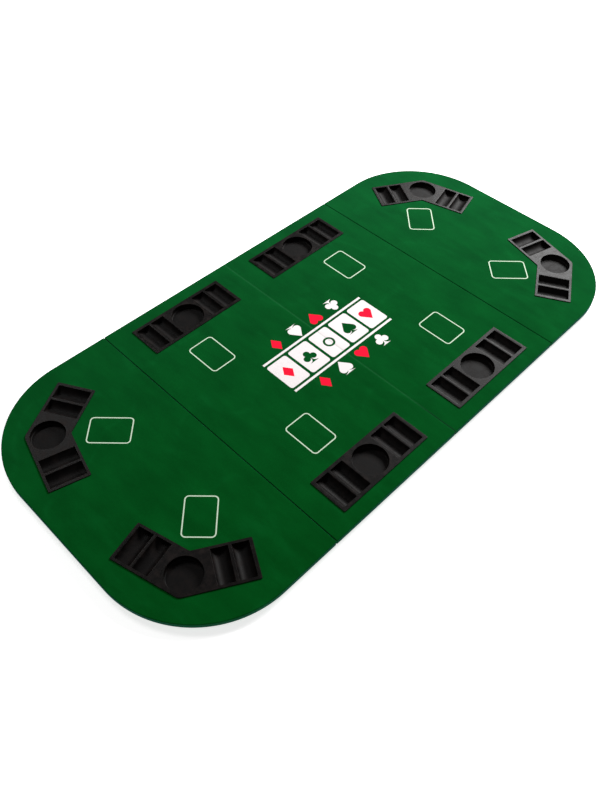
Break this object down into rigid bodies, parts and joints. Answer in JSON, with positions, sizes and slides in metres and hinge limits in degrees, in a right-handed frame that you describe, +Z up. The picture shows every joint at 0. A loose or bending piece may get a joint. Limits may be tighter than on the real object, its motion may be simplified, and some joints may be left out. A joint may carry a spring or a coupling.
{
  "type": "folding poker table top",
  "caption": "Four-panel folding card table top with round corners, green cloth cover, and black trays with cup holders and chip slots.",
  "frame": {"origin": "centre of the opened table top, on the plane the rubber feet stand on", "axes": "+X along the long side, from the left end panel to the right end panel; +Y to the rear long edge; +Z up"},
  "size_m": [1.6, 0.8, 0.02],
  "materials": {
    "board": "bare fibreboard, matte",
    "felt": "green brushed cloth with white and red print",
    "tray": "black textured moulding",
    "hinge": "zinc-plated",
    "screws": "zinc-plated",
    "feet": "matte black",
    "tape": "woven black canvas"
  },
  "bodies": {
    "left_end": {"left_end_board": "board", "left_end_felt": "felt", "left_end_feet": "feet", "left_end_hinge_screws": "screws", "left_end_rear_tray": "tray", "left_end_front_tray": "tray", "left_front_hinge_end_leaf": "hinge", "left_centre_hinge_end_leaf": "hinge", "left_rear_hinge_end_leaf": "hinge"},
    "left_middle": {"left_middle_board": "board", "left_middle_felt": "felt", "left_middle_feet": "feet", "left_middle_hinge_screws": "screws", "left_middle_rear_tray": "tray", "left_middle_front_tray": "tray", "left_front_hinge_middle_leaf": "hinge", "left_front_hinge_pin": "hinge", "left_centre_hinge_middle_leaf": "hinge", "left_centre_hinge_pin": "hinge", "left_rear_hinge_middle_leaf": "hinge", "left_rear_hinge_pin": "hinge", "left_middle_fold_tape": "tape"},
    "right_end": {"right_end_board": "board", "right_end_felt": "felt", "right_end_feet": "feet", "right_end_hinge_screws": "screws", "right_end_rear_tray": "tray", "right_end_front_tray": "tray", "right_front_hinge_end_leaf": "hinge", "right_centre_hinge_end_leaf": "hinge", "right_rear_hinge_end_leaf": "hinge"},
    "right_middle": {"right_middle_board": "board", "right_middle_felt": "felt", "right_middle_feet": "feet", "right_middle_hinge_screws": "screws", "right_middle_rear_tray": "tray", "right_middle_front_tray": "tray", "right_front_hinge_middle_leaf": "hinge", "right_front_hinge_pin": "hinge", "right_centre_hinge_middle_leaf": "hinge", "right_centre_hinge_pin": "hinge", "right_rear_hinge_middle_leaf": "hinge", "right_rear_hinge_pin": "hinge", "right_middle_fold_tape": "tape"}
  },
  "joints": [
    {"name": "left_fold", "type": "hinge", "parent": "left_middle", "child": "left_end", "pos_m": [-0.401, 0, 0.00245], "axis": [0, -1, 0], "range_deg": [0, 180]},
    {"name": "centre_fold", "type": "hinge", "parent": "left_middle", "child": "right_middle", "pos_m": [0, 0, 0.0202], "axis": [0, -1, 0], "range_deg": [0, 179.8]},
    {"name": "right_fold", "type": "hinge", "parent": "right_middle", "child": "right_end", "pos_m": [0.401, 0, 0.00245], "axis": [0, 1, 0], "range_deg": [0, 180]}
  ]
}
